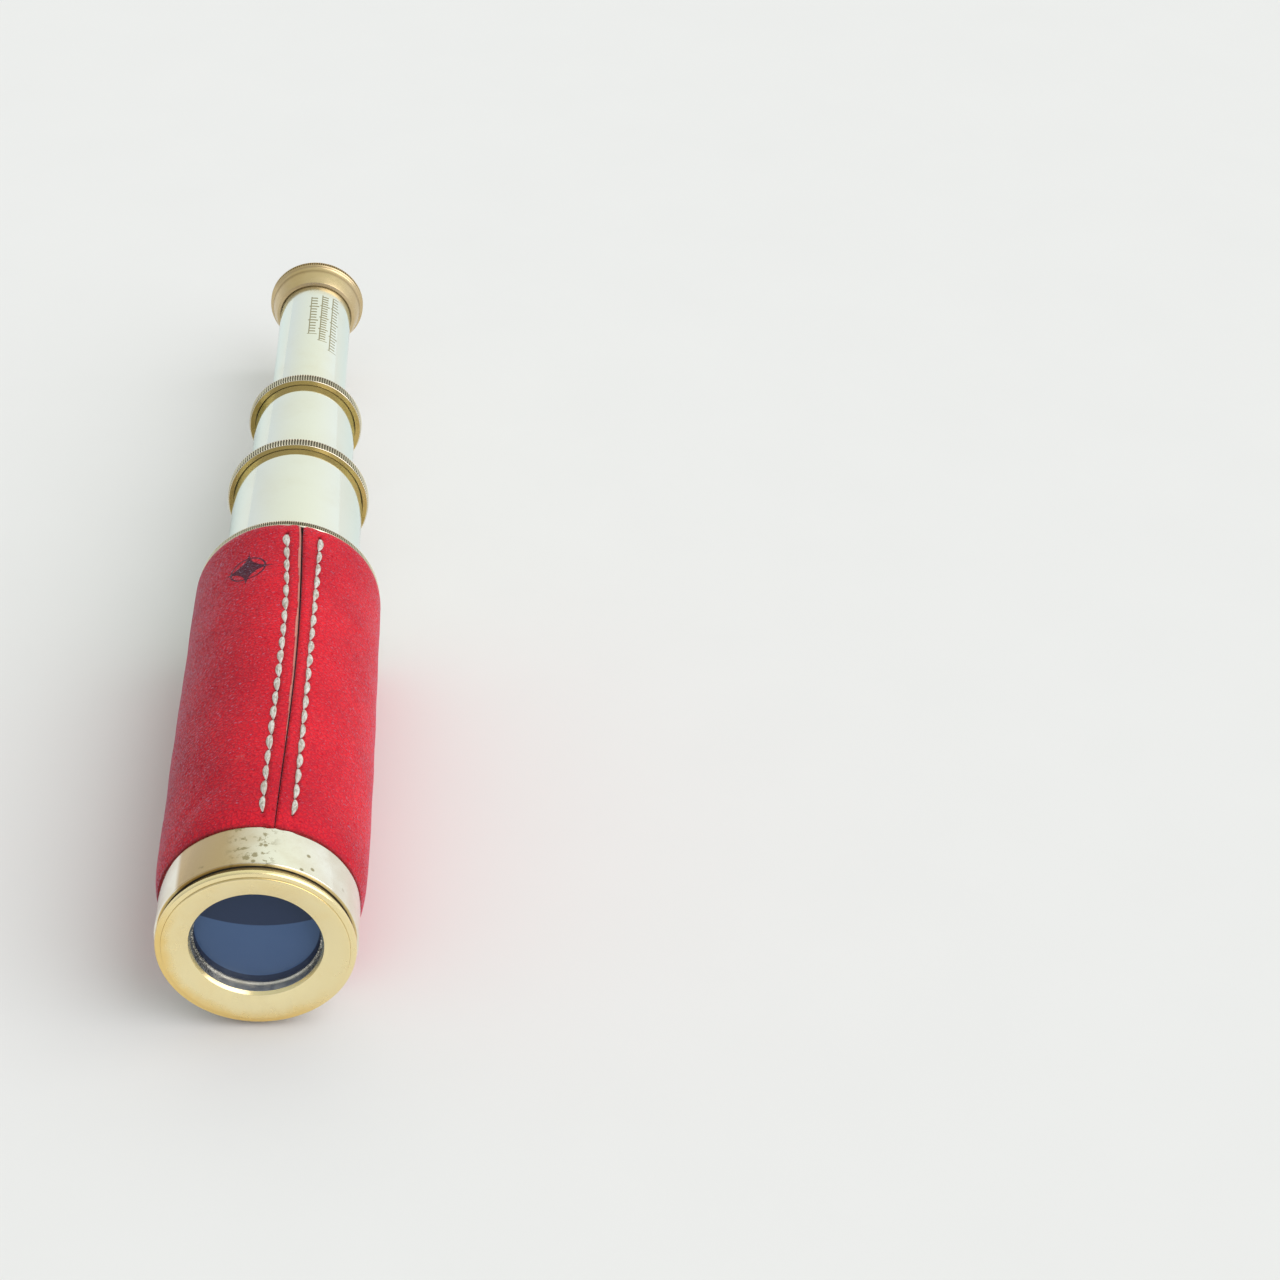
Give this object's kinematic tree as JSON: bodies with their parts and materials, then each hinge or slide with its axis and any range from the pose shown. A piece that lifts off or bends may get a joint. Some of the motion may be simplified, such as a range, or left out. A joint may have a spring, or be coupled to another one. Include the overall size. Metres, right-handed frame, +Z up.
{
  "type": "pull-out telescope",
  "caption": "Hand-held pull-out telescope: a leather-covered brass barrel with sliding draw tubes, an objective, an erecting lens set and an eyepiece.",
  "frame": {"origin": "under the middle of the telescope as modelled, on the surface that the leather barrel lies on", "axes": "+Y along the optical axis from the objective to the eyecup, +Z up, +X to the right when looking along +Y"},
  "size_m": [0.0444, 0.2704, 0.0451],
  "materials": {
    "polished_brass": "polished, pale, faint brushing",
    "sleeve_brass": "polished with tarnish spots",
    "gold_brass": "satin, warmer, turned",
    "knurled_brass": "aged, dark in the knurling",
    "blackened_brass": "matt black",
    "red_leather": "fine grain, semi-gloss",
    "waxed_thread": "waxed, flat",
    "felt": "matt felt",
    "coated_glass": "polished, blue coating",
    "optical_glass": "polished"
  },
  "bodies": {
    "barrel": {"barrel_tube": "polished_brass", "objective_sleeve": "sleeve_brass", "objective_cell": "gold_brass", "crown_lens": "coated_glass", "flint_lens": "optical_glass", "objective_retaining_ring": "blackened_brass", "leather_wrap": "red_leather", "stitch_row_left": "waxed_thread", "stitch_row_right": "waxed_thread", "barrel_end_ring": "knurled_brass", "barrel_felt_band": "felt"},
    "draw_1": {"draw_tube_1": "polished_brass", "draw_1_collar": "knurled_brass", "draw_1_felt_band": "felt", "draw_1_stop_ring": "gold_brass"},
    "draw_2": {"draw_tube_2": "polished_brass", "draw_2_collar": "knurled_brass", "draw_2_felt_band": "felt", "draw_2_stop_ring": "gold_brass"},
    "draw_3": {"draw_tube_3": "polished_brass", "draw_3_stop_ring": "gold_brass", "erector_tube": "blackened_brass", "erector_front_lens": "optical_glass", "erector_front_ring": "blackened_brass", "erector_diaphragm": "blackened_brass", "erector_rear_lens": "optical_glass", "erector_rear_ring": "blackened_brass", "eyepiece_tube": "blackened_brass", "field_lens": "optical_glass", "field_lens_ring": "blackened_brass", "field_stop": "blackened_brass", "eye_lens": "optical_glass", "eye_lens_ring": "blackened_brass", "eyecup": "gold_brass"}
  },
  "joints": [
    {"name": "draw_1_slide", "type": "slide", "parent": "barrel", "child": "draw_1", "axis": [0, 1, 0], "range_m": [-0.0402, 0.0321]},
    {"name": "draw_2_slide", "type": "slide", "parent": "draw_1", "child": "draw_2", "axis": [0, 1, 0], "range_m": [-0.0337, 0.0386]},
    {"name": "draw_3_slide", "type": "slide", "parent": "draw_2", "child": "draw_3", "axis": [0, 1, 0], "range_m": [-0.056, 0.0163]}
  ]
}
